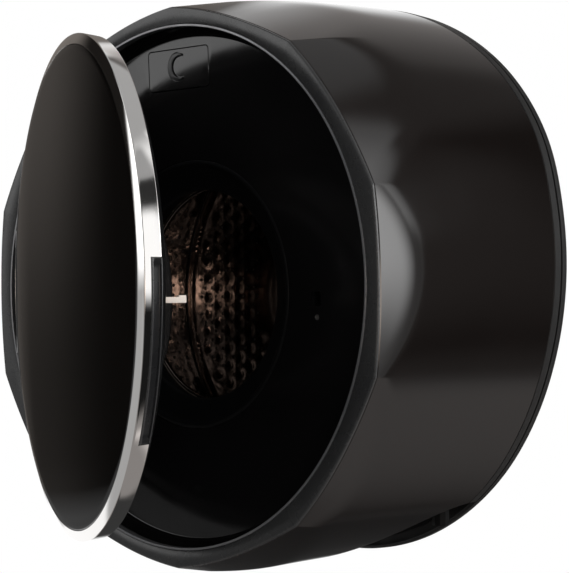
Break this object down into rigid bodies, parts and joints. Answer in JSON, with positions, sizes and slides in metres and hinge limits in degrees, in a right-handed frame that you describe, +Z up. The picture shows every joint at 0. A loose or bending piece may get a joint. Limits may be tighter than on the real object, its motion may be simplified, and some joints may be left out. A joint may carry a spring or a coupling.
{
  "type": "wall mounted washing machine",
  "caption": "Compact drum washing machine that hangs on a wall: round dished front in a ten-sided rim, chrome-ringed glass door standing ajar, perforated drum behind it.",
  "frame": {"origin": "on the wall plane, on the back of the wall plate, straight behind the centre of the round front", "axes": "+Z up, +Y into the wall, so the front faces -Y and +X is to the right of a viewer who faces it"},
  "size_m": [0.5634, 0.4909, 0.5837],
  "materials": {
    "casing_brown": "gloss",
    "bezel_grey": "satin",
    "trim_metal": "satin",
    "fascia_black": "gloss",
    "soft_black": "satin",
    "matt_black": "matt",
    "white_plastic": "matt",
    "rubber_black": "matt",
    "hose_grey": "matt",
    "iron": "rough",
    "steel": "satin",
    "plate_steel": "satin",
    "spider_alloy": "cast",
    "copper_winding": "satin",
    "chrome": "mirror",
    "door_dark": "gloss",
    "bowl_clear": "gloss",
    "latch_cream": "satin"
  },
  "bodies": {
    "cabinet": {"outer_casing": "casing_brown", "front_bezel": "bezel_grey", "bezel_trim_ring": "trim_metal", "front_fascia": "fascia_black", "lock_screw": "steel", "detergent_drawer": "fascia_black", "drawer_grip": "soft_black", "dispenser_housing": "white_plastic", "inlet_valve": "white_plastic", "fill_hose": "rubber_black", "door_gasket": "rubber_black", "tub_front": "white_plastic", "tub_rear": "white_plastic", "counterweight": "iron", "heater": "steel", "shaft_seal": "rubber_black", "bearing_front": "steel", "bearing_rear": "steel", "motor_stator": "copper_winding", "service_recess": "matt_black", "pump_body": "matt_black", "pump_motor": "plate_steel", "cord_gland": "matt_black", "inlet_spigot": "steel", "drain_spigot": "matt_black", "sump_hose": "rubber_black", "drain_hose": "hose_grey", "inlet_hose": "hose_grey", "control_box": "white_plastic", "door_lock": "matt_black", "hinge_bracket": "plate_steel", "hinge_pin_upper": "steel", "hinge_pin_lower": "steel", "rear_cover": "matt_black", "wall_plate": "plate_steel", "rubber_mount_1": "rubber_black", "rubber_mount_2": "rubber_black", "rubber_mount_3": "rubber_black", "rubber_mount_4": "rubber_black"},
    "door": {"door_ring": "chrome", "door_grip": "soft_black", "door_glass": "door_dark", "door_inner_frame": "soft_black", "door_bowl": "bowl_clear", "bowl_clamp": "soft_black", "door_screw_1": "steel", "door_screw_2": "steel", "door_hinge_arms": "plate_steel", "latch_base": "soft_black"},
    "latch": {"latch_hook": "latch_cream"},
    "drum": {"drum_shell": "steel", "drum_back": "steel", "drum_lifter_a": "white_plastic", "drum_lifter_b": "white_plastic", "drum_lifter_c": "white_plastic", "drum_spider": "spider_alloy", "motor_rotor": "plate_steel", "rotor_bolt": "steel"},
    "filter": {"filter_cap": "matt_black"},
    "impeller": {"pump_impeller": "white_plastic"}
  },
  "joints": [
    {"name": "door_hinge", "type": "hinge", "parent": "cabinet", "child": "door", "pos_m": [-0.2431, -0.281, 0], "axis": [0, 0, -1], "range_deg": [-25.2, 84.8]},
    {"name": "latch_pivot", "type": "hinge", "parent": "door", "child": "latch", "pos_m": [0.14346, -0.42974, -0.015], "axis": [0.9048, -0.4258, 0], "range_deg": [-4, 4], "stiffness_Nm_per_rad": 0.6},
    {"name": "drum_spin", "type": "hinge", "parent": "cabinet", "child": "drum", "pos_m": [0, -0.141, -0.007], "axis": [0, -1, 0], "continuous": true},
    {"name": "filter_turn", "type": "hinge", "parent": "cabinet", "child": "filter", "pos_m": [0.028, -0.036, -0.23], "axis": [0, 0, -1], "range_deg": [0, 90]},
    {"name": "pump_spin", "type": "hinge", "parent": "cabinet", "child": "impeller", "pos_m": [0.068, -0.036, -0.2], "axis": [1, 0, 0], "continuous": true}
  ]
}
